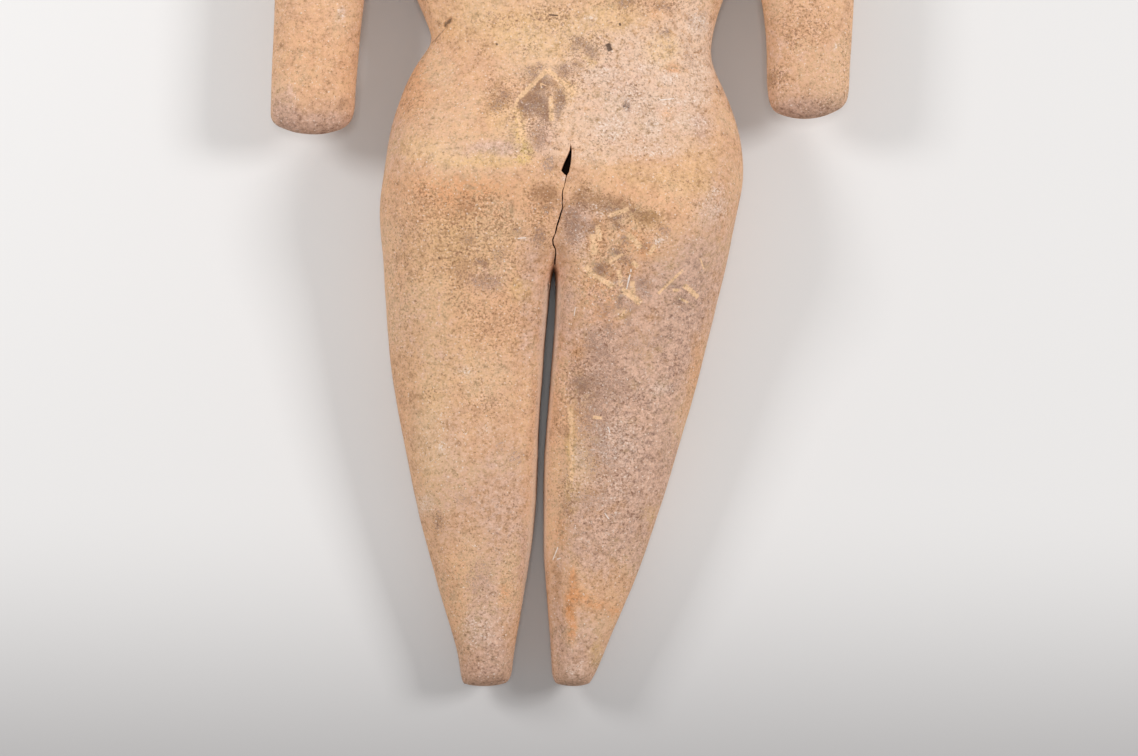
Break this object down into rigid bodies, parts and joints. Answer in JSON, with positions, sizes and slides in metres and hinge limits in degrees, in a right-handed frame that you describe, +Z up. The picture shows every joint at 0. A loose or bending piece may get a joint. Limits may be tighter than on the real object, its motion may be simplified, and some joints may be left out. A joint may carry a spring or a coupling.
{
  "type": "female fertility figure",
  "caption": "Slab-built clay figure of a standing woman with a narrow waist, wide hips, blunt hanging arms and legs that taper to small stub feet, lying on its front.",
  "frame": {"origin": "middle of the underside of the box around the figure, on the surface that it lies on", "axes": "+Y from the soles to the crown, +Z up out of the figure's back, +X to the right when the back is seen with the head up"},
  "size_m": [0.2332, 0.455, 0.0628],
  "materials": {
    "terracotta": "unglazed buff and orange fired clay, dry and gritty, with soil stains and pale root marks"
  },
  "bodies": {
    "root": {"figure": "terracotta"}
  },
  "joints": []
}
